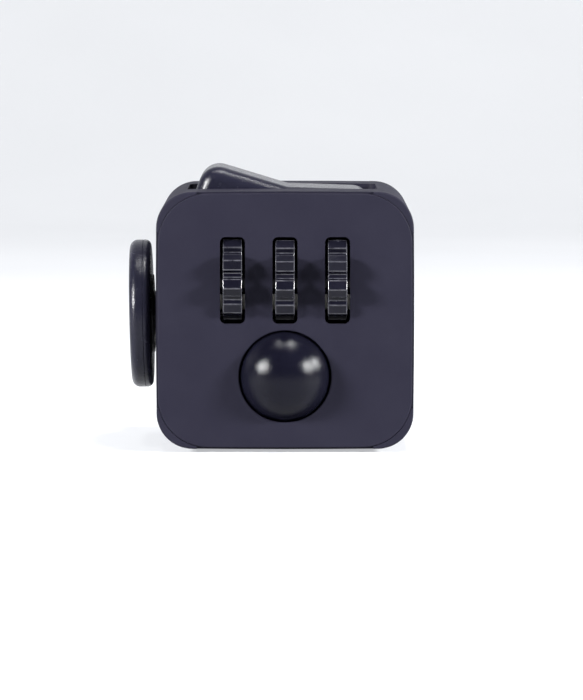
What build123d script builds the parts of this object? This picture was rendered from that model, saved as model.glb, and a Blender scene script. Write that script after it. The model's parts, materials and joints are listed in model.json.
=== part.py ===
"""Pocket fidget cube: a hollow plastic cube with a different fingertip toy on each face.

Frame: millimetres, +Z up.  The origin is the middle of the plane that the cube stands on.
Everything is modelled about the cube's own centre and lifted at the end, so that the
tips of the bottom buttons touch z = 0.

Faces: front (-Y) three thumb gears and a roller ball, left (-X) a glide joystick,
top (+Z) a flip rocker, right (+X) a thumb dish, back (+Y) a spin dial,
bottom (-Z) five click buttons.
"""
import os
from math import cos, radians, sin

from build123d import *

# ---- casing -------------------------------------------------------------------------
EDGE = 33.0                     # outside length of the cube's edges
HALF = EDGE / 2
WALL = 2.0                      # wall of the ring and thickness of the covers
INNER = HALF - WALL             # from the centre to a wall's inside
SIDE_CROWN = 0.12               # how far each side bulges at its middle
RING_CORNER = 4.6               # corner radius of the ring, seen from the front
CAVITY_CORNER = 2.0
RING_EDGE_ROUND = 0.2           # rounding of the ring's corners, front and back
RING_SET_BACK = 0.06            # the ring's corners stand this far behind a cover's face
REBATE_LIP_FROM = 11.3          # the rebate has a lip only beyond this, round the corners
COVER_CORNER = 6.3              # corner radius of the front and back covers
COVER_INSET = 0.25              # the covers stop this far inside the ring's outline
COVER_FLANGE = 0.6              # part of a cover's thickness that lies in the rebate
COVER_EDGE_ROUND = 0.12
COVER_PLAY = 0.05               # gap between a cover and the ring

# ---- thumb gears and roller ball (front) --------------------------------------------
GEAR_COUNT = 3
GEAR_PITCH = 6.7                # spacing of the gears along the axle
GEAR_Z = 5.15                   # axle height above the cube's centre
GEAR_DEPTH = 3.25               # axle behind the front face
GEAR_WIDTH = 2.45
GEAR_TEETH = 10
GEAR_TIP = 5.85                 # radius at a tooth's ridge
GEAR_SHOULDER = 5.42            # radius at a tooth's edge
GEAR_ROOT = 4.75                # radius at the bottom of a groove
GEAR_PHASES = (27.4, 25.6, 25.6)  # one ridge of each gear above the forward direction, degrees
GEAR_TOOTH_HALF = 11.9          # half of a tooth's angle, degrees
GEAR_ROOT_HALF = 14.4           # angle from a ridge to the groove's floor, degrees
GEAR_EDGE_ROUND = 0.16
GEAR_HUB = 1.9
GEAR_HUB_GAP = 0.2              # side play between neighbouring hubs
AXLE_RADIUS = 1.0
RUNNING_FIT = 0.05              # radial clearance of a shaft that turns in its bore
WINDOW_WIDTH = 3.2
WINDOW_HEIGHT = 11.1
WINDOW_CORNER = 0.7
OPENING_EDGE_ROUND = 0.15       # rounding round the windows and the ball's hole
GEAR_POCKET_SKIN = 1.0          # cover thickness round the gear windows
BALL_Z = -7.15
BALL_RADIUS = 6.0
BALL_DEPTH = 2.3                # ball's centre behind the front face
BALL_GAP = 0.25                 # gap between the ball and its hole
SEAT_RADIUS = 5.0
SEAT_PLAY = 0.1
HOUSING_WALL = 0.9

# ---- glide joystick (left) ----------------------------------------------------------
PIVOT_X = -8.0                  # the joystick tilts about this point on the cube's X axis
REST_TILT = 1.0                 # the stick hangs this much below level, degrees
DISC_RADIUS = 9.65
DISC_INSIDE = 0.88              # gap from the left face to the disc
DISC_THICKNESS = 2.77
DISC_OUTER_ROUND = 1.05         # rounding of the disc's rim on the thumb's side
DISC_INNER_ROUND = 0.8          # rounding of the disc's rim on the cube's side
DISC_DISH = 0.5
DISC_HUB_RADIUS = 5.1
DISC_HUB_STEP = 0.28
NECK_RADIUS = 2.95
STEM_RADIUS = 1.6
PEG_RADIUS = 1.5
STICK_HOLE = 4.3
STICK_RECESS_RADIUS = 6.6
STICK_RECESS_DEPTH = 0.7
GIMBAL_INSIDE = 2.5
GIMBAL_OUTSIDE = 3.7
GIMBAL_HALF_WIDTH = 1.0
GIMBAL_PIN = 0.5
STICK_TUBE_INSIDE = 4.1
STICK_TUBE_OUTSIDE = 5.2
STICK_FLANGE_RADIUS = 8.0
STICK_SCREW_CIRCLE = 6.6

# ---- flip rocker (top) --------------------------------------------------------------
ROCKER_X = -0.35                # middle of the rocker and its opening
OPENING_LENGTH = 24.5
OPENING_WIDTH = 15.8
OPENING_CORNER = 1.2
ROCKER_WIDTH = 15.2
ROCKER_PIN_DEPTH = 3.6          # pin below the top face
ROCKER_TILT = 9.4               # the rocker rests this far to one side, degrees
ROCKER_VALLEY = 3.82            # from the pin to the middle of the rocker's top
ROCKER_REACH = 10.85            # half of the rocker's length along its top
ROCKER_RISE = 5.26              # from the pin to the top of either end, before rounding
ROCKER_PIN = 0.9
ROCKER_BOSS = 2.0
ROCKER_NOSE = 2.6               # rounding of the rocker's two ends, and of the valley
ROCKER_EDGE_ROUND = 1.9
CRADLE_FLOOR = 5.9              # cradle's floor below the top face
CRADLE_SKIN = 1.0
CRADLE_SIDE = 0.9
CRADLE_LENGTH = 25.3
CRADLE_WIDTH = 16.0
PLUNGER_RADIUS = 1.15

# ---- spin dial (back) ---------------------------------------------------------------
DIAL_RADIUS = 10.0
DIAL_GAP = 0.3
DIAL_THICKNESS = 2.3
DIAL_EDGE_ROUND = 0.8
DIAL_SHAFT = 2.0
DIMPLE_OFFSET = 5.2
DIMPLE_RADIUS = 3.6
DIMPLE_DEPTH = 1.2

# ---- thumb dish (right) -------------------------------------------------------------
DISH_RADIUS = 11.0
DISH_DEPTH = 1.3
DISH_BACKING = 1.3
DISH_BACKING_RADIUS = 12.0

# ---- click buttons (bottom) ---------------------------------------------------------
BUTTON_PROUD = 0.4
BUTTON_SPACING = 7.6            # middle to each corner button, along X and along Y
BUTTON_RADIUS = 3.2
BUTTON_PLAY = 0.1
BUTTON_FLANGE = 3.8
BUTTON_FLANGE_THICKNESS = 0.8
BUTTON_STEM = 1.0
BUTTON_STEM_LENGTH = 0.8
BUTTON_TRAVEL = 0.7
BUTTON_EDGE_ROUND = 0.35
DOME_RADIUS = 2.4
DOME_HEIGHT = 0.65
DOME_SKIN = 0.15
PAD_RADIUS = 2.0
PLATE_THICKNESS = 1.2
PLATE_HALF = 12.9
PLATE_POST = 11.8
PLATE_POST_RADIUS = 1.5

# ---- small screws -------------------------------------------------------------------
SCREW_HEAD = 1.1
SCREW_HEAD_HEIGHT = 0.7
SCREW_SHANK = 0.6

CENTRE_HEIGHT = HALF + BUTTON_PROUD
COVER_INSIDE = -INNER           # Y of the front cover's inner face
GEAR_Y = GEAR_DEPTH - HALF
BALL_Y = BALL_DEPTH - HALF
ROCKER_Z = HALF - ROCKER_PIN_DEPTH

MIDDLE = (Align.CENTER, Align.CENTER, Align.MIN)


# ---- building blocks ----------------------------------------------------------------
def block(x_range, y_range, z_range):
    """Box between the given limits."""
    low = [min(limits) for limits in (x_range, y_range, z_range)]
    size = [abs(b - a) for a, b in (x_range, y_range, z_range)]
    return Pos(*low) * Box(*size, align=(Align.MIN, Align.MIN, Align.MIN))


def rod_x(radius, start, end, y=0.0, z=0.0):
    """Cylinder along +X."""
    return Pos(start, y, z) * Rot(0, 90, 0) * Cylinder(radius, end - start, align=MIDDLE)


def rod_y(radius, start, end, x=0.0, z=0.0):
    """Cylinder along +Y."""
    return Pos(x, start, z) * Rot(-90, 0, 0) * Cylinder(radius, end - start, align=MIDDLE)


def rod_z(radius, start, end, x=0.0, y=0.0):
    """Cylinder along +Z."""
    return Pos(x, y, start) * Cylinder(radius, end - start, align=MIDDLE)


def along_y(face, start, end):
    """Prism of a flat outline drawn in X and Z, from Y = start to Y = end."""
    return Pos(0, start, 0) * Rot(-90, 0, 0) * extrude(face, amount=end - start)


def crowned_square(half, crown, corner):
    """Square outline with slightly bulging sides and round corners."""
    reach = half - crown
    corners = [(-reach, -reach), (reach, -reach), (reach, reach), (-reach, reach)]
    middles = [(0, -half), (half, 0), (0, half), (-half, 0)]
    sides = [
        ThreePointArc(corners[i], middles[i], corners[(i + 1) % 4])
        for i in range(4)
    ]
    outline = make_face(sides)
    return fillet(outline.vertices(), corner)


def screw(axis_rod, head_from, head_to, tip, first, second):
    """Small pan-head screw: head between two levels, plain shank down to the tip."""
    head = axis_rod(SCREW_HEAD, min(head_from, head_to), max(head_from, head_to), first, second)
    shank = axis_rod(SCREW_SHANK, min(tip, head_from), max(tip, head_from), first, second)
    return head + shank


def snap_dome(radius, height, skin):
    """Thin spring-steel dome standing on z = 0, with its crown up."""
    sphere_radius = (radius ** 2 + height ** 2) / (2 * height)
    centre = Pos(0, 0, height - sphere_radius)
    shell = centre * (Sphere(sphere_radius) - Sphere(sphere_radius - skin))
    return shell & rod_z(radius + 1, 0, height + 1)


def coil(radius, wire, length, turns):
    """Compression spring from z = 0 to z = length."""
    path = Helix(pitch=(length - 2 * wire) / turns, height=length - 2 * wire, radius=radius)
    section = Plane(origin=path @ 0, z_dir=path % 0) * Circle(wire)
    return Pos(0, 0, wire) * sweep(section, path=path)


# ---- casing -------------------------------------------------------------------------
def cavity():
    """Inside of the ring, as a solid."""
    return along_y(RectangleRounded(2 * INNER, 2 * INNER, CAVITY_CORNER), -INNER, INNER)


def button_places():
    """Five places like the five on a die, the middle one last."""
    corners = [
        (sx * BUTTON_SPACING, sy * BUTTON_SPACING)
        for sy in (-1, 1)
        for sx in (-1, 1)
    ]
    return corners + [(0.0, 0.0)]


def plate_posts():
    """Places of the three posts that carry the click plate."""
    return [(-PLATE_POST, 0.0), (PLATE_POST, 0.0), (0.0, PLATE_POST)]


def front_rebate():
    """Room for the front cover's flange: a lip at the corners, open along the sides."""
    seat = -HALF + COVER_FLANGE
    half = HALF - COVER_INSET + COVER_PLAY
    outline = crowned_square(half, SIDE_CROWN, COVER_CORNER + COVER_PLAY)
    room = along_y(outline, -HALF - 1, seat)
    lip = (-REBATE_LIP_FROM, REBATE_LIP_FROM)
    across = (-HALF - 1, HALF + 1)
    room += block(lip, (-HALF - 1, seat), across)
    return room + block(across, (-HALF - 1, seat), lip)


def make_ring():
    """Four walls in one moulding: left, top, right and bottom."""
    rim = HALF - RING_SET_BACK
    outside = along_y(crowned_square(HALF, SIDE_CROWN, RING_CORNER), -rim, rim)
    rims = outside.faces().filter_by(Axis.Y).edges()
    ring = fillet(rims, RING_EDGE_ROUND)
    ring -= along_y(RectangleRounded(2 * INNER, 2 * INNER, CAVITY_CORNER), -HALF, HALF)
    ring -= front_rebate()
    ring -= front_rebate().rotate(Axis.Z, 180)

    ring += rod_x(DISH_BACKING_RADIUS, INNER - DISH_BACKING, INNER + 0.5)
    dish_ball = (DISH_RADIUS ** 2 + DISH_DEPTH ** 2) / (2 * DISH_DEPTH)
    ring -= Pos(HALF - DISH_DEPTH + dish_ball, 0, 0) * Sphere(dish_ball)

    ring -= rod_x(STICK_HOLE, -HALF - 1, -INNER + 1)
    ring -= rod_x(STICK_RECESS_RADIUS, -HALF - 1, -HALF + STICK_RECESS_DEPTH)

    opening = RectangleRounded(OPENING_LENGTH, OPENING_WIDTH, OPENING_CORNER)
    ring -= Pos(ROCKER_X, 0, INNER - 1) * extrude(opening, amount=WALL + 2)

    for x, y in button_places():
        ring -= rod_z(BUTTON_RADIUS + BUTTON_PLAY, -HALF - 1, -INNER + 1, x, y)
    for x, y in plate_posts():
        ring += rod_z(PLATE_POST_RADIUS, -INNER - 0.5, PLATE_UNDERSIDE, x, y)
    return ring


def cover_blank():
    """Front cover without its openings: a flange on the ring and a plug inside it."""
    flange_half = HALF - COVER_INSET
    flange_outline = crowned_square(flange_half, SIDE_CROWN, COVER_CORNER)
    flange = along_y(flange_outline, -HALF, -HALF + COVER_FLANGE)
    front_edges = flange.faces().sort_by(Axis.Y)[0].edges()
    flange = fillet(front_edges, COVER_EDGE_ROUND)
    plug_size = 2 * (INNER - COVER_PLAY)
    plug_outline = RectangleRounded(plug_size, plug_size, CAVITY_CORNER)
    return flange + along_y(plug_outline, -HALF + COVER_FLANGE, -INNER)


def make_front_cover():
    """Cover with three gear windows and the ball's hole."""
    cover = cover_blank()
    gears_half = gear_x(GEAR_COUNT - 1) + GEAR_PITCH / 2 + 0.2
    pocket_half = WINDOW_HEIGHT / 2 + 0.45
    cover -= block(
        (-gears_half, gears_half),
        (-HALF + GEAR_POCKET_SKIN, -INNER + 1),
        (GEAR_Z - pocket_half, GEAR_Z + pocket_half),
    )
    window = RectangleRounded(WINDOW_WIDTH, WINDOW_HEIGHT, WINDOW_CORNER)
    for i in range(GEAR_COUNT):
        cover -= Pos(gear_x(i), 0, GEAR_Z) * along_y(window, -HALF - 1, -INNER + 1)
    cover -= Pos(0, BALL_Y, BALL_Z) * Sphere(BALL_RADIUS + BALL_GAP)
    openings = cover.faces().sort_by(Axis.Y)[0].inner_wires()
    return fillet(openings.edges(), OPENING_EDGE_ROUND)


def make_back_cover():
    """Cover with the dial's bearing hole."""
    cover = cover_blank().rotate(Axis.Z, 180)
    return cover - rod_y(DIAL_SHAFT + RUNNING_FIT, INNER - 1, HALF + 1)


# ---- thumb gears --------------------------------------------------------------------
def gear_x(index):
    """Place of a gear along the axle."""
    return (index - (GEAR_COUNT - 1) / 2) * GEAR_PITCH


def gear_outline(phase):
    """Roof-shaped teeth: a ridge, two sloping flats, and a groove between teeth."""
    points = []
    for tooth in range(GEAR_TEETH):
        ridge = 180 - phase + tooth * 360 / GEAR_TEETH
        corners = [
            (-GEAR_ROOT_HALF, GEAR_ROOT),
            (-GEAR_TOOTH_HALF, GEAR_SHOULDER),
            (0, GEAR_TIP),
            (GEAR_TOOTH_HALF, GEAR_SHOULDER),
            (GEAR_ROOT_HALF, GEAR_ROOT),
        ]
        for turn, radius in corners:
            angle = radians(ridge + turn)
            points.append((radius * cos(angle), radius * sin(angle)))
    return make_face(Polyline(*points, close=True))


def make_gear(index):
    """One thumb gear with its hub."""
    half = GEAR_WIDTH / 2
    outline = Plane.YZ * gear_outline(GEAR_PHASES[index])
    wheel = Pos(-half, 0, 0) * extrude(outline, amount=GEAR_WIDTH)
    rims = wheel.faces().filter_by(Axis.X).edges()
    wheel = chamfer(rims, GEAR_EDGE_ROUND)
    hub_half = (GEAR_PITCH - GEAR_HUB_GAP) / 2
    wheel += rod_x(GEAR_HUB, -hub_half, hub_half)
    wheel -= rod_x(AXLE_RADIUS + RUNNING_FIT, -hub_half - 1, hub_half + 1)
    return Pos(gear_x(index), GEAR_Y, GEAR_Z) * wheel


CHEEK_INSIDE = GEAR_PITCH * GEAR_COUNT / 2 + 0.15
CHEEK_OUTSIDE = CHEEK_INSIDE + 1.4
LUG_OUTSIDE = CHEEK_OUTSIDE + 2.4
CARRIER_BACK = (-6.4, -5.4)     # Y limits of the carrier's rear plate
CARRIER_TOP = GEAR_Z + 3.9
CARRIER_BOTTOM = GEAR_Z - 4.4
LUG_THICKNESS = 1.2


def make_gear_axle():
    """Steel pin that the three gears turn on."""
    return rod_x(AXLE_RADIUS, -CHEEK_OUTSIDE, CHEEK_OUTSIDE, GEAR_Y, GEAR_Z)


def carrier_screw_x():
    """How far each carrier screw stands from the middle."""
    return (CHEEK_OUTSIDE + LUG_OUTSIDE) / 2


def make_carrier_screws():
    """Two screws that hold the gear carrier to the front cover."""
    head_from = COVER_INSIDE + LUG_THICKNESS
    return [
        screw(rod_y, head_from, head_from + SCREW_HEAD_HEIGHT, -HALF + 0.6, side, GEAR_Z)
        for side in (-carrier_screw_x(), carrier_screw_x())
    ]


def make_gear_carrier():
    """U-shaped carrier: two cheeks, a rear plate and two screw lugs."""
    carrier = block((-CHEEK_OUTSIDE, CHEEK_OUTSIDE), CARRIER_BACK, (CARRIER_BOTTOM, CARRIER_TOP))
    for side in (-1, 1):
        carrier += block(
            (side * CHEEK_INSIDE, side * CHEEK_OUTSIDE),
            (COVER_INSIDE, CARRIER_BACK[1]),
            (GEAR_Z - 2.2, GEAR_Z + 2.2),
        )
        carrier += block(
            (side * CHEEK_INSIDE, side * LUG_OUTSIDE),
            (COVER_INSIDE, COVER_INSIDE + LUG_THICKNESS),
            (GEAR_Z - 2.2, GEAR_Z + 2.2),
        )
    return carrier - make_gear_axle()


def make_gear_click_spring():
    """Leaf comb behind the gears: one finger for each gear's teeth, on a common strip."""
    leaf = 0.2
    strip_back = CARRIER_BACK[0]
    strip = block((-9.4, 9.4), (strip_back - leaf, strip_back), (CARRIER_BOTTOM, CARRIER_BOTTOM + 2))
    for i in range(GEAR_COUNT):
        across = (gear_x(i) - 0.9, gear_x(i) + 0.9)
        strip += block(across, (strip_back - leaf, strip_back), (CARRIER_BOTTOM, GEAR_Z + 0.6))
        strip += rod_x(0.3, across[0], across[1], strip_back - 0.45, GEAR_Z + 0.5)
    return strip


# ---- roller ball --------------------------------------------------------------------
SEAT_FRONT = BALL_Y + 3.8
SEAT_BACK = BALL_Y + BALL_RADIUS + 0.8
SEAT_STEM_END = SEAT_BACK + 0.7
BALL_PLATE = SEAT_STEM_END + 0.05 + DOME_HEIGHT
BALL_TUBE_FRONT = BALL_Y + 4.2
BALL_LEG = (7.6, 9.8)           # X limits of the legs that reach the front cover


def make_ball():
    """Ball that rolls under the thumb and can be pressed in."""
    return Pos(0, BALL_Y, BALL_Z) * Sphere(BALL_RADIUS)


def make_ball_seat():
    """Cup behind the ball with a short stem that presses the snap dome."""
    seat = rod_y(SEAT_RADIUS, SEAT_FRONT, SEAT_BACK, 0, BALL_Z)
    seat -= Pos(0, BALL_Y, BALL_Z) * Sphere(BALL_RADIUS + 0.1)
    return seat + rod_y(BUTTON_STEM, SEAT_BACK, SEAT_STEM_END, 0, BALL_Z)


def make_ball_dome():
    """Snap dome that clicks when the ball is pressed."""
    dome = snap_dome(DOME_RADIUS, DOME_HEIGHT, DOME_SKIN)
    return Pos(0, BALL_PLATE, BALL_Z) * Rot(90, 0, 0) * dome


def make_ball_screws():
    """Two screws through the housing's legs into the front cover."""
    leg_x = sum(BALL_LEG) / 2
    head_from = BALL_TUBE_FRONT + 1.2
    return [
        screw(rod_y, head_from, head_from + SCREW_HEAD_HEIGHT, -HALF + 0.6, side, BALL_Z)
        for side in (-leg_x, leg_x)
    ]


def make_ball_housing():
    """Tube that guides the seat, closed behind, on two legs."""
    outside = SEAT_RADIUS + SEAT_PLAY + HOUSING_WALL
    housing = rod_y(outside, BALL_TUBE_FRONT, BALL_PLATE + 0.8, 0, BALL_Z)
    housing += block(
        (-BALL_LEG[1], BALL_LEG[1]),
        (BALL_TUBE_FRONT, BALL_TUBE_FRONT + 1.2),
        (BALL_Z - 2, BALL_Z + 2),
    )
    housing -= rod_y(SEAT_RADIUS + SEAT_PLAY, BALL_TUBE_FRONT - 1, BALL_PLATE, 0, BALL_Z)
    for side in (-1, 1):
        housing += block(
            (side * BALL_LEG[0], side * BALL_LEG[1]),
            (COVER_INSIDE, BALL_TUBE_FRONT),
            (BALL_Z - 2, BALL_Z + 2),
        )
    return housing


# ---- glide joystick -----------------------------------------------------------------
DISC_BACK = -HALF - DISC_INSIDE
DISC_FRONT = DISC_BACK - DISC_THICKNESS
NECK_END = DISC_BACK + DISC_HUB_STEP
PEG_END = DISC_BACK - 1.1
TAIL_START = PIVOT_X + 2.0
TAIL_END = PIVOT_X + 2.6
FOLLOWER = (TAIL_END + 0.35, TAIL_END + 1.05)
TUBE_END = FOLLOWER[1] + 2.6


def hang(shape):
    """Tilt a piece of the stick by its rest angle about the pivot."""
    return Pos(PIVOT_X, 0, 0) * Rot(0, -REST_TILT, 0) * Pos(-PIVOT_X, 0, 0) * shape


def make_joystick_disc():
    """Thumb disc with a rounded rim, a shallow dish and a hub under it."""
    dish_edge = DISC_RADIUS - DISC_OUTER_ROUND
    dish_centre = DISC_FRONT + DISC_DISH
    dish = ThreePointArc(
        (dish_centre, 0),
        (dish_centre - DISC_DISH / 4, dish_edge / 2),
        (DISC_FRONT, dish_edge),
    )
    outer_round = RadiusArc(
        (DISC_FRONT, dish_edge),
        (DISC_FRONT + DISC_OUTER_ROUND, DISC_RADIUS),
        DISC_OUTER_ROUND,
    )
    flank = Line(
        (DISC_FRONT + DISC_OUTER_ROUND, DISC_RADIUS),
        (DISC_BACK - DISC_INNER_ROUND, DISC_RADIUS),
    )
    inner_round = RadiusArc(
        (DISC_BACK - DISC_INNER_ROUND, DISC_RADIUS),
        (DISC_BACK, DISC_RADIUS - DISC_INNER_ROUND),
        DISC_INNER_ROUND,
    )
    underside = Polyline(
        (DISC_BACK, DISC_RADIUS - DISC_INNER_ROUND),
        (DISC_BACK, DISC_HUB_RADIUS),
        (NECK_END, DISC_HUB_RADIUS),
        (NECK_END, 0),
        (dish_centre, 0),
    )
    outline = make_face([dish, outer_round, flank, inner_round, underside])
    disc = revolve(outline, Axis.X)
    return hang(disc - rod_x(PEG_RADIUS, PEG_END, NECK_END + 1))


def make_joystick_pin():
    """Pin through the stem that the stick tilts on, front to back."""
    reach = GIMBAL_OUTSIDE - 0.2
    return hang(rod_z(GIMBAL_PIN, -reach, reach, PIVOT_X, 0))


def make_joystick_stem():
    """Domed neck, thin stem and a flat tail that the centring spring squares up."""
    neck_back = -INNER + 1.6
    outline = Polyline(
        (NECK_END, 0),
        (NECK_END, NECK_RADIUS),
        (NECK_END + 1.4, NECK_RADIUS),
        (neck_back, STEM_RADIUS),
        (TAIL_START, STEM_RADIUS),
        (TAIL_START, STEM_RADIUS + 0.6),
        (TAIL_END, STEM_RADIUS + 0.6),
        (TAIL_END, 0),
        close=True,
    )
    stem = revolve(make_face(outline), Axis.X)
    stem += rod_x(PEG_RADIUS, PEG_END, NECK_END + 0.5)
    return hang(stem) - make_joystick_pin()


def make_gimbal_pins():
    """Two stub pins that the gimbal ring tilts on, up and down."""
    return [
        hang(rod_y(GIMBAL_PIN, min(side), max(side), PIVOT_X, 0))
        for side in ((-5.0, -2.9), (2.9, 5.0))
    ]


def make_gimbal_ring():
    """Ring between the stick and its housing."""
    low = PIVOT_X - GIMBAL_HALF_WIDTH
    high = PIVOT_X + GIMBAL_HALF_WIDTH
    ring = rod_x(GIMBAL_OUTSIDE, low, high) - rod_x(GIMBAL_INSIDE, low - 1, high + 1)
    ring -= rod_z(GIMBAL_PIN + RUNNING_FIT, -GIMBAL_OUTSIDE - 1, GIMBAL_OUTSIDE + 1, PIVOT_X, 0)
    ring = hang(ring)
    for pin in make_gimbal_pins():
        ring -= pin
    return ring


def stick_screw_places():
    """Three places round the stick's flange, as (y, z)."""
    turns = [radians(turn) for turn in (60, 180, 300)]
    return [(STICK_SCREW_CIRCLE * cos(t), STICK_SCREW_CIRCLE * sin(t)) for t in turns]


def make_joystick_screws():
    """Screws through the housing's flange into the left wall."""
    head_from = -INNER + LUG_THICKNESS
    return [
        screw(rod_x, head_from, head_from + SCREW_HEAD_HEIGHT, -INNER - 1.0, y, z)
        for y, z in stick_screw_places()
    ]


def make_joystick_housing():
    """Flanged tube on the left wall that carries the gimbal."""
    housing = rod_x(STICK_FLANGE_RADIUS, -INNER, -INNER + LUG_THICKNESS)
    housing += rod_x(STICK_TUBE_OUTSIDE, -INNER, TUBE_END)
    housing -= rod_x(STICK_TUBE_INSIDE, -HALF, TUBE_END - 0.8)
    housing -= rod_y(GIMBAL_PIN + RUNNING_FIT, -STICK_TUBE_OUTSIDE - 1, STICK_TUBE_OUTSIDE + 1, PIVOT_X, 0)
    return housing


def make_joystick_follower():
    """Sliding washer that presses squarely on the stem's tail."""
    return rod_x(STICK_TUBE_INSIDE - 0.15, *FOLLOWER)


def make_joystick_spring():
    """Spring that pushes the follower and brings the stick back to the middle."""
    spring = coil(2.6, 0.25, TUBE_END - 0.8 - FOLLOWER[1], 3)
    return Pos(FOLLOWER[1], 0, 0) * Rot(0, 90, 0) * spring


# ---- flip rocker --------------------------------------------------------------------
def make_rocker():
    """Rocker with two flat halves that meet in a shallow valley, and full round ends."""
    boss = ThreePointArc((1.6, -1.2), (0, -ROCKER_BOSS), (-1.6, -1.2))
    right = [(0, ROCKER_VALLEY), (ROCKER_REACH, ROCKER_RISE), (11.7, 1.0), (1.6, -1.2)]
    left = [(-x, height) for x, height in reversed(right)]
    outline = make_face([Polyline(*right), boss, Polyline(*left)])
    valley_and_noses = outline.vertices().sort_by(Axis.Y)[-3:]
    outline = fillet(valley_and_noses, ROCKER_NOSE)
    body = extrude(Plane.XZ * outline, amount=ROCKER_WIDTH / 2, both=True)
    rims = body.faces().filter_by(Axis.Y).edges()
    body = fillet([edge for edge in rims if edge.center().Z > 2], ROCKER_EDGE_ROUND)
    body -= rod_y(ROCKER_PIN + RUNNING_FIT, -ROCKER_WIDTH, ROCKER_WIDTH)
    return Pos(ROCKER_X, 0, ROCKER_Z) * Rot(0, ROCKER_TILT, 0) * body


def make_rocker_pin():
    """Pin that the rocker turns on, front to back."""
    reach = CRADLE_WIDTH / 2 + CRADLE_SIDE
    return rod_y(ROCKER_PIN, -reach, reach, ROCKER_X, ROCKER_Z)


FLOOR_TOP = HALF - CRADLE_FLOOR
FLOOR_BOTTOM = FLOOR_TOP - CRADLE_SKIN
POT_BOTTOM = FLOOR_BOTTOM - 4.0
POT_RADIUS = 2.0
CRADLE_TAB = (9.0, 10.1)        # X and Y of each cradle screw, either side of the rocker


def cradle_screw_places():
    """Four places beside the rocker's opening."""
    return [
        (ROCKER_X + sx * CRADLE_TAB[0], sy * CRADLE_TAB[1])
        for sx in (-1, 1)
        for sy in (-1, 1)
    ]


def make_cradle_screws():
    """Screws through the cradle's tabs into the top wall."""
    head_from = INNER - LUG_THICKNESS
    return [
        screw(rod_z, head_from, head_from - SCREW_HEAD_HEIGHT, INNER + 1.0, x, y)
        for x, y in cradle_screw_places()
    ]


def make_cradle():
    """Open tray under the top wall that holds the rocker's pin and the click plunger."""
    length = CRADLE_LENGTH / 2
    width = CRADLE_WIDTH / 2
    tray = block(
        (ROCKER_X - length - 0.7, ROCKER_X + length + 0.7),
        (-width - CRADLE_SIDE, width + CRADLE_SIDE),
        (FLOOR_BOTTOM, INNER),
    )
    tray -= block(
        (ROCKER_X - length, ROCKER_X + length), (-width, width), (FLOOR_TOP, INNER + 1)
    )
    tray += rod_z(POT_RADIUS, POT_BOTTOM, FLOOR_BOTTOM, ROCKER_X, 0)
    tray -= rod_z(PLUNGER_RADIUS + SEAT_PLAY, POT_BOTTOM + 0.6, FLOOR_TOP + 1, ROCKER_X, 0)
    for x, y in cradle_screw_places():
        side = 1 if y > 0 else -1
        tray += block(
            (x - 1.6, x + 1.6),
            (side * (width + CRADLE_SIDE / 2), y + side * 1.3),
            (INNER - LUG_THICKNESS, INNER),
        )
    tray &= cavity()
    return tray - make_rocker_pin()


def make_plunger():
    """Round-nosed plunger that rubs on the rocker's boss."""
    top = ROCKER_Z - ROCKER_BOSS - 0.15
    nose = top - PLUNGER_RADIUS
    body = rod_z(PLUNGER_RADIUS, nose - 1.4, nose, ROCKER_X, 0)
    return body + Pos(ROCKER_X, 0, nose) * Sphere(PLUNGER_RADIUS)


def make_plunger_spring():
    """Spring under the plunger."""
    start = POT_BOTTOM + 0.6
    end = ROCKER_Z - ROCKER_BOSS - 0.15 - PLUNGER_RADIUS - 1.4
    return Pos(ROCKER_X, 0, start) * coil(0.8, 0.15, end - start, 3)


# ---- spin dial ----------------------------------------------------------------------
DIAL_FRONT = HALF + DIAL_GAP + DIAL_THICKNESS
SHAFT_END = INNER - 0.3


def make_dial_screw():
    """Screw up the middle of the dial's shaft."""
    head = rod_y(1.8, SHAFT_END - 1.5, SHAFT_END - 0.6)
    return head + rod_y(0.8, SHAFT_END - 0.6, HALF + 1.2)


def make_dial():
    """Finger dial with one off-centre dimple, and its short shaft."""
    disc = rod_y(DIAL_RADIUS, HALF + DIAL_GAP, DIAL_FRONT)
    disc = fillet(disc.edges(), DIAL_EDGE_ROUND)
    dimple = (DIMPLE_RADIUS ** 2 + DIMPLE_DEPTH ** 2) / (2 * DIMPLE_DEPTH)
    disc -= Pos(0, DIAL_FRONT - DIMPLE_DEPTH + dimple, DIMPLE_OFFSET) * Sphere(dimple)
    disc += rod_y(DIAL_SHAFT, SHAFT_END, HALF + DIAL_GAP + 0.5)
    return disc - make_dial_screw()


def make_dial_washer():
    """Washer that keeps the dial's shaft in the cover."""
    return rod_y(4.0, SHAFT_END - 0.6, SHAFT_END) - rod_y(0.8, SHAFT_END - 1, SHAFT_END + 1)


# ---- click buttons ------------------------------------------------------------------
FLANGE_BOTTOM = -INNER + 0.1
STEM_TOP = FLANGE_BOTTOM + BUTTON_FLANGE_THICKNESS + BUTTON_STEM_LENGTH
PLATE_UNDERSIDE = STEM_TOP + BUTTON_TRAVEL + 0.1


def make_button(x, y):
    """Button with a flange that keeps it in the cube and a stem that presses its dome."""
    cap = rod_z(BUTTON_RADIUS, -HALF - BUTTON_PROUD, FLANGE_BOTTOM, x, y)
    tip = cap.faces().sort_by(Axis.Z)[0].edges()
    cap = fillet(tip, BUTTON_EDGE_ROUND)
    flange_top = FLANGE_BOTTOM + BUTTON_FLANGE_THICKNESS
    cap += rod_z(BUTTON_FLANGE, FLANGE_BOTTOM, flange_top, x, y)
    return cap + rod_z(BUTTON_STEM, flange_top, STEM_TOP, x, y)


def make_click_dome(x, y):
    """Snap dome hanging under the click plate, crown towards the button."""
    dome = snap_dome(DOME_RADIUS, DOME_HEIGHT, DOME_SKIN)
    return Pos(x, y, PLATE_UNDERSIDE) * Rot(180, 0, 0) * dome


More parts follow.
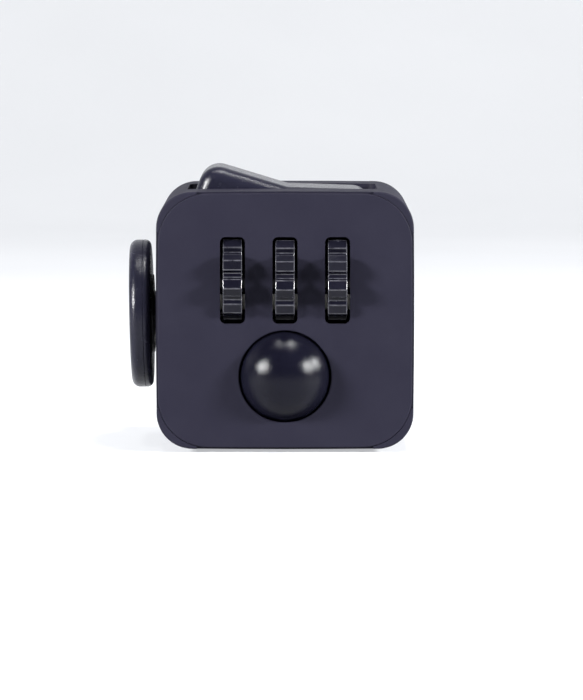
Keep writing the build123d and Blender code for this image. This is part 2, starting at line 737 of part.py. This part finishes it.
def make_quiet_pad(x, y):
    """Soft pad in place of a dome, for a button that makes no sound."""
    pad = rod_z(PAD_RADIUS, STEM_TOP + 0.05, PLATE_UNDERSIDE, x, y)
    return fillet(pad.faces().sort_by(Axis.Z)[0].edges(), 0.2)


def make_click_screws():
    """Screws through the click plate into the posts."""
    head_from = PLATE_UNDERSIDE + PLATE_THICKNESS
    return [
        screw(rod_z, head_from, head_from + SCREW_HEAD_HEIGHT, -INNER + 0.6, x, y)
        for x, y in plate_posts()
    ]


def make_click_plate():
    """Plate that backs the five buttons, cut away round the ball's housing."""
    sheet = RectangleRounded(2 * PLATE_HALF, 2 * PLATE_HALF, 1.5)
    plate = Pos(0, 0, PLATE_UNDERSIDE) * extrude(sheet, amount=PLATE_THICKNESS)
    notch = 5.2
    return plate - block((-notch, notch), (-HALF, -4.9), (PLATE_UNDERSIDE - 1, 0))


# ---- assembly -----------------------------------------------------------------------
def minus_all(piece, tools):
    """Cut every tool out of a piece."""
    for tool in tools:
        piece -= tool
    return piece


def build():
    """Every node, by name."""
    carrier_screws = make_carrier_screws()
    ball_screws = make_ball_screws()
    joystick_screws = make_joystick_screws()
    cradle_screws = make_cradle_screws()
    click_screws = make_click_screws()
    places = button_places()
    button_names = ["front_left", "front_right", "back_left", "back_right", "middle"]

    nodes = {
        "shell_ring": minus_all(make_ring(), joystick_screws + cradle_screws + click_screws),
        "front_cover": minus_all(make_front_cover(), carrier_screws + ball_screws),
        "back_cover": make_back_cover(),
        "gear_left": make_gear(0),
        "gear_middle": make_gear(1),
        "gear_right": make_gear(2),
        "gear_axle": make_gear_axle(),
        "gear_carrier": minus_all(make_gear_carrier(), carrier_screws),
        "gear_click_spring": make_gear_click_spring(),
        "gear_carrier_screws": carrier_screws,
        "roller_ball": make_ball(),
        "ball_seat": make_ball_seat(),
        "ball_snap_dome": make_ball_dome(),
        "ball_housing": minus_all(make_ball_housing(), ball_screws),
        "ball_housing_screws": ball_screws,
        "joystick_disc": make_joystick_disc(),
        "joystick_stem": make_joystick_stem(),
        "joystick_pin": make_joystick_pin(),
        "joystick_gimbal_ring": make_gimbal_ring(),
        "joystick_gimbal_pins": make_gimbal_pins(),
        "joystick_housing": minus_all(make_joystick_housing(), joystick_screws),
        "joystick_follower": make_joystick_follower(),
        "joystick_spring": make_joystick_spring(),
        "joystick_screws": joystick_screws,
        "flip_rocker": make_rocker(),
        "rocker_pin": make_rocker_pin(),
        "rocker_cradle": minus_all(make_cradle(), cradle_screws),
        "rocker_plunger": make_plunger(),
        "rocker_plunger_spring": make_plunger_spring(),
        "rocker_cradle_screws": cradle_screws,
        "spin_dial": make_dial(),
        "dial_screw": make_dial_screw(),
        "dial_washer": make_dial_washer(),
        "click_plate": minus_all(make_click_plate(), click_screws),
        "click_plate_screws": click_screws,
    }
    clicking = ("front_left", "back_right", "middle")
    for name, (x, y) in zip(button_names, places):
        nodes[f"button_{name}"] = make_button(x, y)
        if name in clicking:
            nodes[f"snap_dome_{name}"] = make_click_dome(x, y)
        else:
            nodes[f"quiet_pad_{name}"] = make_quiet_pad(x, y)
    return nodes


def place(piece):
    """Lift a finished piece, or a group of pieces, from the cube's centre to its place."""
    lift = Pos(0, 0, CENTRE_HEIGHT)
    if isinstance(piece, list):
        return Compound(children=[lift * single for single in piece])
    return lift * piece


def main():
    os.makedirs("parts", exist_ok=True)
    for name, piece in build().items():
        export_step(place(piece), f"parts/{name}.step")


main()
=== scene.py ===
"""Looks of the fidget cube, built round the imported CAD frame.  Metres, +Z up."""

import json
from math import cos, pi, radians, sin

import bmesh
import bpy
from mathutils import Matrix, Vector


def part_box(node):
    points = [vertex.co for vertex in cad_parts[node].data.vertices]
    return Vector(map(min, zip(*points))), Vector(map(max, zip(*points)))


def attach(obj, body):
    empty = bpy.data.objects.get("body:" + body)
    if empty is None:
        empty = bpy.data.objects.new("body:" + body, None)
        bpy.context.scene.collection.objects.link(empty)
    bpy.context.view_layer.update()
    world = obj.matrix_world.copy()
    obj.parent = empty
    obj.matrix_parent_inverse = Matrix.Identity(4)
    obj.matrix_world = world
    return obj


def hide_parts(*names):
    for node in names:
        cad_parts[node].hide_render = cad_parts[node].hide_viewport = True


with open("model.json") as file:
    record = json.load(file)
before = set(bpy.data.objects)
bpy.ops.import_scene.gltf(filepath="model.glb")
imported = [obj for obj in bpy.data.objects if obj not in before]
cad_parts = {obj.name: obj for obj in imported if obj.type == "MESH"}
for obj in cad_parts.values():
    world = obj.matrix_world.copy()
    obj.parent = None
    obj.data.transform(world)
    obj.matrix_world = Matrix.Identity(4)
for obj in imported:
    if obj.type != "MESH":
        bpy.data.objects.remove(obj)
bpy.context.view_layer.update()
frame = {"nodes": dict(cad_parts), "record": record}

MM = 0.001
RING_LOW, RING_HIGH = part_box("shell_ring")
CUBE_CENTRE = (RING_LOW + RING_HIGH) / 2
FRONT_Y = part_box("front_cover")[0].y

GEAR_WIDTH = 2.45 * MM
GEAR_HUB_WIDTH = 6.5 * MM
GEAR_HUB_RADIUS = 1.9 * MM
GEAR_BORE = 1.05 * MM
GEAR_TEETH = 10
GEAR_TIP = 5.85 * MM
GEAR_SHOULDER = 5.42 * MM
GEAR_ROOT = 4.75 * MM
GEAR_TOOTH_HALF = 11.9
GEAR_ROOT_HALF = 14.4
GEAR_BEVEL = 0.11 * MM
GEAR_PHASES = {"left": 27.4, "middle": 25.6, "right": 25.6}

STICK_TILT = 1.0
DISC_GAP = 0.88 * MM
DISC_RADIUS = 9.65 * MM
DISC_THICKNESS = 2.77 * MM
DISC_OUTER_ROUND = 1.05 * MM
DISC_INNER_ROUND = 0.8 * MM
DISC_DISH = 0.5 * MM
DISC_HUB_RADIUS = 5.1 * MM
DISC_HUB_STEP = 0.28 * MM
PARTING_FROM_BACK = 1.0 * MM
PARTING_WIDTH = 0.1 * MM
PARTING_DEPTH = 0.05 * MM
PEG_RADIUS = 1.5 * MM
PEG_DEPTH = 1.1 * MM


# ---- node helpers ---------------------------------------------------------------
def new_material(name):
    """Empty node material with one Principled shader."""
    material = bpy.data.materials.new(name)
    material.use_nodes = True
    nodes = material.node_tree.nodes
    nodes.clear()
    output = nodes.new("ShaderNodeOutputMaterial")
    shader = nodes.new("ShaderNodeBsdfPrincipled")
    material.node_tree.links.new(shader.outputs["BSDF"], output.inputs["Surface"])
    return material, shader


def noise(material, grain, detail=2.0, roughness=0.5):
    """Noise in the object's own space, with grains of the given size in metres."""
    nodes = material.node_tree.nodes
    place = nodes.new("ShaderNodeTexCoord")
    texture = nodes.new("ShaderNodeTexNoise")
    texture.inputs["Scale"].default_value = 1 / grain
    texture.inputs["Detail"].default_value = detail
    texture.inputs["Roughness"].default_value = roughness
    material.node_tree.links.new(place.outputs["Object"], texture.inputs["Vector"])
    return texture.outputs["Fac"]


def spread(material, factor, low, high, start=0.3, end=0.7):
    """Map a noise factor to a number between low and high."""
    nodes = material.node_tree.nodes
    node = nodes.new("ShaderNodeMapRange")
    node.inputs["From Min"].default_value = start
    node.inputs["From Max"].default_value = end
    node.inputs["To Min"].default_value = low
    node.inputs["To Max"].default_value = high
    material.node_tree.links.new(factor, node.inputs["Value"])
    return node.outputs["Result"]


def tint(material, factor, dark, light):
    """Colour between two tones, driven by a factor."""
    nodes = material.node_tree.nodes
    node = nodes.new("ShaderNodeMix")
    node.data_type = "RGBA"
    node.inputs["A"].default_value = (*dark, 1)
    node.inputs["B"].default_value = (*light, 1)
    material.node_tree.links.new(factor, node.inputs["Factor"])
    return node.outputs["Result"]


def bump(material, shader, heights):
    """Stack of small reliefs: (height factor, strength, depth in metres)."""
    nodes = material.node_tree.nodes
    links = material.node_tree.links
    normal = None
    for factor, strength, depth in heights:
        node = nodes.new("ShaderNodeBump")
        node.inputs["Strength"].default_value = strength
        node.inputs["Distance"].default_value = depth
        links.new(factor, node.inputs["Height"])
        if normal is not None:
            links.new(normal, node.inputs["Normal"])
        normal = node.outputs["Normal"]
    links.new(normal, shader.inputs["Normal"])


def plastic(name, dark, light, rough, fine_grain, fine_depth, coarse_grain=4 * MM, gloss=0.5):
    """Moulded plastic: slow colour drift, uneven polish and a fine moulded texture."""
    material, shader = new_material(name)
    shader.inputs["Specular IOR Level"].default_value = gloss
    links = material.node_tree.links
    drift = spread(material, noise(material, coarse_grain, 3.0), 0, 1)
    links.new(tint(material, drift, dark, light), shader.inputs["Base Color"])
    polish = spread(material, noise(material, coarse_grain / 3, 4.0), *rough)
    links.new(polish, shader.inputs["Roughness"])
    bump(material, shader, [
        (noise(material, fine_grain, 3.0, 0.6), 1.0, fine_depth),
        (noise(material, coarse_grain / 2, 2.0), 1.0, fine_depth / 2),
    ])
    return material


# ---- materials ------------------------------------------------------------------
def shell_material():
    """Soft-touch matte shell."""
    return plastic(
        "soft_touch_shell", (0.0080, 0.0075, 0.0150), (0.0095, 0.0090, 0.0170), (0.56, 0.66),
        0.10 * MM, 0.004 * MM, 6 * MM, gloss=0.10,
    )


def gear_material():
    """Polished black plastic of the gears."""
    return plastic(
        "polished_gear", (0.003, 0.003, 0.006), (0.005, 0.005, 0.009), (0.13, 0.22),
        0.16 * MM, 0.003 * MM, gloss=0.15,
    )


def painted_highlight_edge_material():
    """Gear crease bevels: smoother and glossier, in a paler tone that is a painted highlight along
    every edge.
    """
    return plastic(
        "gear_edge_painted_highlight", (0.010, 0.010, 0.015), (0.042, 0.042, 0.050), (0.10, 0.24),
        0.12 * MM, 0.002 * MM, 0.8 * MM, gloss=0.6,
    )


def ball_material():
    """Fine spark-textured black ball."""
    return plastic(
        "textured_ball", (0.0026, 0.0026, 0.0056), (0.0036, 0.0036, 0.0072), (0.11, 0.15),
        0.20 * MM, 0.036 * MM, gloss=0.12,
    )


def satin_material():
    """Satin black thumb pieces."""
    return plastic(
        "satin_black", (0.006, 0.006, 0.012), (0.009, 0.009, 0.016), (0.20, 0.28),
        0.28 * MM, 0.045 * MM, gloss=0.2,
    )


def inner_material():
    """Plain black nylon of the hidden frames."""
    return plastic(
        "inner_nylon", (0.018, 0.018, 0.020), (0.026, 0.026, 0.028), (0.45, 0.6),
        0.25 * MM, 0.008 * MM, gloss=0.2,
    )


def steel_material(name, tone, rough):
    """Drawn or rolled steel with fine streaks."""
    material, shader = new_material(name)
    links = material.node_tree.links
    drift = spread(material, noise(material, 0.6 * MM, 5.0), 0, 1)
    dark = tuple(0.8 * c for c in tone)
    links.new(tint(material, drift, dark, tone), shader.inputs["Base Color"])
    links.new(spread(material, noise(material, 0.15 * MM, 4.0), *rough), shader.inputs["Roughness"])
    shader.inputs["Metallic"].default_value = 1.0
    bump(material, shader, [(noise(material, 0.08 * MM, 3.0), 1.0, 0.002 * MM)])
    return material


def rubber_material():
    """Soft black pad."""
    return plastic(
        "pad_rubber", (0.020, 0.020, 0.020), (0.030, 0.030, 0.030), (0.65, 0.8),
        0.12 * MM, 0.01 * MM, gloss=0.2,
    )


# paler material for the gear crease bevels: a painted edge highlight
PAINTED_HIGHLIGHT_EDGE = painted_highlight_edge_material()
SLOT_MATERIALS = {
    "shell_plastic": shell_material(),
    "gear_plastic": gear_material(),
    "ball_plastic": ball_material(),
    "joystick_plastic": satin_material(),
    "inner_plastic": inner_material(),
    "pin_steel": steel_material("ground_pin_steel", (0.55, 0.55, 0.56), (0.2, 0.32)),
    "spring_steel": steel_material("rolled_spring_steel", (0.50, 0.49, 0.46), (0.25, 0.4)),
    "screw_steel": steel_material("plated_screw_steel", (0.45, 0.45, 0.48), (0.28, 0.42)),
    "pad_rubber": rubber_material(),
}
for shared in ("rocker_plastic", "dial_plastic", "button_plastic"):
    SLOT_MATERIALS[shared] = SLOT_MATERIALS["joystick_plastic"]


def dress_cad_nodes():
    """Every carried-over CAD node gets its slot's material."""
    for row in frame["record"]["subparts"]:
        mesh = frame["nodes"][row["node"]].data
        mesh.materials.clear()
        mesh.materials.append(SLOT_MATERIALS[row["material_slot"]])


dress_cad_nodes()


# ---- mesh helpers ---------------------------------------------------------------
def new_piece(name, build, material):
    """Turn a finished bmesh into an object with one material."""
    bmesh.ops.recalc_face_normals(build, faces=build.faces)
    mesh = bpy.data.meshes.new(name)
    build.to_mesh(mesh)
    build.free()
    mesh.materials.append(material)
    piece = bpy.data.objects.new(name, mesh)
    bpy.context.scene.collection.objects.link(piece)
    return piece


def weigh_normals(mesh):
    """Large faces keep their own direction, and the narrow bevels between them turn."""
    sums = [Vector() for _ in mesh.vertices]
    for polygon in mesh.polygons:
        polygon.use_smooth = True
        share = polygon.normal * (polygon.area / MM ** 2) ** 2
        for index in polygon.vertices:
            sums[index] += share
    mesh.normals_split_custom_set_from_vertices([total.normalized() for total in sums])


def sweep_rings(build, rings):
    """Join closed rings of points into a tube, and the last ring back to the first."""
    loops = [[build.verts.new(point) for point in ring] for ring in rings]
    for low, high in zip(loops, loops[1:] + loops[:1]):
        for i, start in enumerate(low):
            build.faces.new((low[i - 1], start, high[i], high[i - 1]))


def turned(profile, segments):
    """Lathe body about the X axis from (x, radius) points, the first and last on the axis."""
    build = bmesh.new()
    first = build.verts.new((profile[0][0], 0, 0))
    last = build.verts.new((profile[-1][0], 0, 0))
    turns = [2 * pi * i / segments for i in range(segments)]
    loops = [
        [build.verts.new((x, radius * cos(turn), radius * sin(turn))) for turn in turns]
        for x, radius in profile[1:-1]
    ]
    for low, high in zip(loops, loops[1:]):
        for i, start in enumerate(low):
            build.faces.new((low[i - 1], start, high[i], high[i - 1]))
    for i in range(segments):
        build.faces.new((first, loops[0][i], loops[0][i - 1]))
        build.faces.new((last, loops[-1][i - 1], loops[-1][i]))
    return build


def quarter_arc(centre, radius, start, end, steps):
    """Points of an arc in (x, radius), from start to end degrees."""
    turns = [radians(start + (end - start) * i / steps) for i in range(steps + 1)]
    return [(centre[0] + radius * cos(t), centre[1] + radius * sin(t)) for t in turns]


# ---- thumb gears ----------------------------------------------------------------
def gear_ring(phase):
    """(angle, radius) of the roof-shaped teeth, all the way round."""
    corners = [
        (-GEAR_ROOT_HALF, GEAR_ROOT),
        (-GEAR_TOOTH_HALF, GEAR_SHOULDER),
        (0, GEAR_TIP),
        (GEAR_TOOTH_HALF, GEAR_SHOULDER),
        (GEAR_ROOT_HALF, GEAR_ROOT),
    ]
    ridges = [180 - phase + tooth * 360 / GEAR_TEETH for tooth in range(GEAR_TEETH)]
    return [(radians(ridge + turn), radius) for ridge in ridges for turn, radius in corners]


def build_gear(side):
    """Thumb gear with every crease softly rounded, and its hub."""
    low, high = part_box(f"gear_{side}")
    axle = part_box("gear_axle")
    centre = Vector(((low.x + high.x) / 2, (axle[0].y + axle[1].y) / 2, (axle[0].z + axle[1].z) / 2))
    teeth = gear_ring(GEAR_PHASES[side])
    half = GEAR_WIDTH / 2

    def ring(x, radii):
        angles = [angle for angle, _ in teeth]
        return [
            centre + Vector((x, radius * cos(angle), radius * sin(angle)))
            for angle, radius in zip(angles, radii)
        ]

    outside = [radius for _, radius in teeth]
    bore = [GEAR_BORE] * len(teeth)
    build = bmesh.new()
    sweep_rings(build, [ring(-half, bore), ring(-half, outside), ring(half, outside), ring(half, bore)])
    creases = [
        edge for edge in build.edges
        if all((vertex.co - centre).yz.length > GEAR_ROOT * 0.99 for vertex in edge.verts)
    ]
    rounded = bmesh.ops.bevel(
        build, geom=creases, offset=GEAR_BEVEL, segments=3, profile=0.5, affect="EDGES",
        offset_type="OFFSET", clamp_overlap=True,
    )
    # the rounded creases take the paler second material, a painted highlight along the edges
    for face in rounded["faces"]:
        face.material_index = 1
    hub = [GEAR_HUB_RADIUS] * len(teeth)
    for end in (-1, 1):
        near = end * (half - GEAR_BEVEL)
        far = end * GEAR_HUB_WIDTH / 2
        sweep_rings(build, [ring(near, bore), ring(near, hub), ring(far, hub), ring(far, bore)])
    gear = new_piece(f"thumb_gear_{side}", build, SLOT_MATERIALS["gear_plastic"])
    # second material: the paler painted edge highlight on the crease bevels
    gear.data.materials.append(PAINTED_HIGHLIGHT_EDGE)
    weigh_normals(gear.data)
    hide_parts(f"gear_{side}")
    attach(gear, f"{side}_gear")


# ---- joystick disc --------------------------------------------------------------
def disc_profile(front, back):
    """Dished face, round rim with a fine parting line, flat back and hub."""
    dish_edge = DISC_RADIUS - DISC_OUTER_ROUND
    dish = [
        (front + DISC_DISH * (1 - (i / 16) ** 2), dish_edge * i / 16)
        for i in range(17)
    ]
    outer = quarter_arc((front + DISC_OUTER_ROUND, dish_edge), DISC_OUTER_ROUND, 180, 90, 12)
    parting = back - PARTING_FROM_BACK
    groove = [
        (parting - PARTING_WIDTH / 2, DISC_RADIUS),
        (parting, DISC_RADIUS - PARTING_DEPTH),
        (parting + PARTING_WIDTH / 2, DISC_RADIUS),
    ]
    inner_centre = (back - DISC_INNER_ROUND, DISC_RADIUS - DISC_INNER_ROUND)
    inner = quarter_arc(inner_centre, DISC_INNER_ROUND, 90, 0, 10)
    hub_end = back + DISC_HUB_STEP
    peg_end = back - PEG_DEPTH
    hub = [
        (back, DISC_HUB_RADIUS),
        (hub_end - 0.06 * MM, DISC_HUB_RADIUS),
        (hub_end, DISC_HUB_RADIUS - 0.06 * MM),
        (hub_end, PEG_RADIUS),
        (peg_end, PEG_RADIUS),
        (peg_end, 0),
    ]
    return dish + outer[1:] + groove + inner + hub


def build_disc():
    """Joystick disc, hanging by its rest tilt about the stick's pivot."""
    pivot = next(
        Vector(joint["pos_m"]) for joint in frame["record"]["behaviour"]["joints"]
        if joint["name"] == "joystick_tilt_up_down"
    )
    hang = Matrix.Rotation(radians(-STICK_TILT), 4, "Y")
    left_face = -(RING_HIGH.x - RING_LOW.x) / 2
    back = left_face - DISC_GAP - pivot.x
    build = turned(disc_profile(back - DISC_THICKNESS, back), 160)
    bmesh.ops.transform(build, matrix=Matrix.Translation(pivot) @ hang, verts=build.verts)
    disc = new_piece("thumb_disc", build, SLOT_MATERIALS["joystick_plastic"])
    for polygon in disc.data.polygons:
        polygon.use_smooth = True
    disc.data.set_sharp_from_angle(angle=radians(32))
    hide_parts("joystick_disc")
    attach(disc, "joystick")


for gear_side in GEAR_PHASES:
    build_gear(gear_side)
build_disc()


# ---- studio ---------------------------------------------------------------------
PAPER_GLOW = 1.65


def add_stage():
    """Pale floor that curves up into a backdrop."""
    mesh = bpy.data.meshes.new("studio_sweep")
    build = bmesh.new()
    half_width, front, bend, radius, top = 1.6, -1.2, 0.5, 0.35, 1.4
    profile = [(front, 0.0), (bend, 0.0)]
    profile += [
        (bend + radius * sin(turn), radius - radius * cos(turn))
        for turn in (pi / 2 * i / 12 for i in range(1, 13))
    ]
    profile.append((bend + radius, top))
    rows = [
        [build.verts.new((side * half_width, y, z)) for side in (-1, 1)]
        for y, z in profile
    ]
    for low, high in zip(rows, rows[1:]):
        build.faces.new((low[0], low[1], high[1], high[0]))
    build.to_mesh(mesh)
    build.free()
    for polygon in mesh.polygons:
        polygon.use_smooth = True
    sweep = bpy.data.objects.new("studio_sweep", mesh)
    bpy.context.scene.collection.objects.link(sweep)
    material, shader = new_material("studio_paper")
    links = material.node_tree.links
    drift = spread(material, noise(material, 0.08, 3.0), 0, 1)
    paper = tint(material, drift, (0.275, 0.280, 0.290), (0.285, 0.290, 0.300))
    links.new(paper, shader.inputs["Base Color"])
    links.new(paper, shader.inputs["Emission Color"])
    shader.inputs["Emission Strength"].default_value = PAPER_GLOW
    shader.inputs["Roughness"].default_value = 0.7
    mesh.materials.append(material)


def add_softbox(name, direction, distance, width, height, power):
    """Rectangular softbox aimed at the cube from the given direction."""
    light = bpy.data.lights.new(name, "AREA")
    light.shape = "RECTANGLE"
    light.size = width
    light.size_y = height
    light.energy = power
    lamp = bpy.data.objects.new(name, light)
    away = Vector(direction).normalized()
    lamp.location = CUBE_CENTRE + away * distance
    lamp.rotation_euler = (-away).to_track_quat("-Z", "Y").to_euler()
    bpy.context.scene.collection.objects.link(lamp)


def add_world(front, back):
    """Pale surround, dim on the viewer's side of the cube and brighter behind it."""
    world = bpy.data.worlds.new("studio")
    world.use_nodes = True
    nodes = world.node_tree.nodes
    links = world.node_tree.links
    background = nodes["Background"]
    background.inputs["Color"].default_value = (0.93, 0.95, 1.0, 1)
    direction = nodes.new("ShaderNodeTexCoord")
    parts = nodes.new("ShaderNodeSeparateXYZ")
    strength = nodes.new("ShaderNodeMapRange")
    strength.inputs["From Min"].default_value = -0.6
    strength.inputs["From Max"].default_value = 0.6
    strength.inputs["To Min"].default_value = front
    strength.inputs["To Max"].default_value = back
    links.new(direction.outputs["Generated"], parts.inputs["Vector"])
    links.new(parts.outputs["Y"], strength.inputs["Value"])
    links.new(strength.outputs["Result"], background.inputs["Strength"])
    bpy.context.scene.world = world


def add_camera():
    """Long lens a little above the cube, looking straight at the gear face."""
    camera = bpy.data.cameras.new("photo_camera")
    camera.lens = 242.5
    camera.sensor_width = 36
    camera.sensor_fit = "AUTO"
    camera.clip_start = 0.01
    camera.clip_end = 10
    holder = bpy.data.objects.new("photo_camera", camera)
    holder.location = (0.00083, FRONT_Y - 0.600, 0.0606)
    holder.rotation_euler = (radians(90 - 4.52), 0, 0)
    bpy.context.scene.collection.objects.link(holder)
    bpy.context.scene.camera = holder


add_stage()
add_softbox("left_softbox", (-0.805, -0.466, 0.335), 0.55, 0.11, 0.11, 9.0)
add_softbox("right_softbox", (0.830, -0.425, 0.328), 0.55, 0.10, 0.10, 7.5)
add_softbox("right_rear_softbox", (0.930, -0.020, 0.360), 0.55, 0.08, 0.08, 4.0)
add_softbox("top_softbox", (0.177, -0.050, 0.983), 0.55, 0.05, 0.05, 2.0)
add_softbox("top_left_softbox", (-0.177, -0.050, 0.983), 0.55, 0.05, 0.04, 0.7)
add_world(0.03, 0.22)
add_camera()

bpy.context.scene.view_settings.view_transform = "Standard"
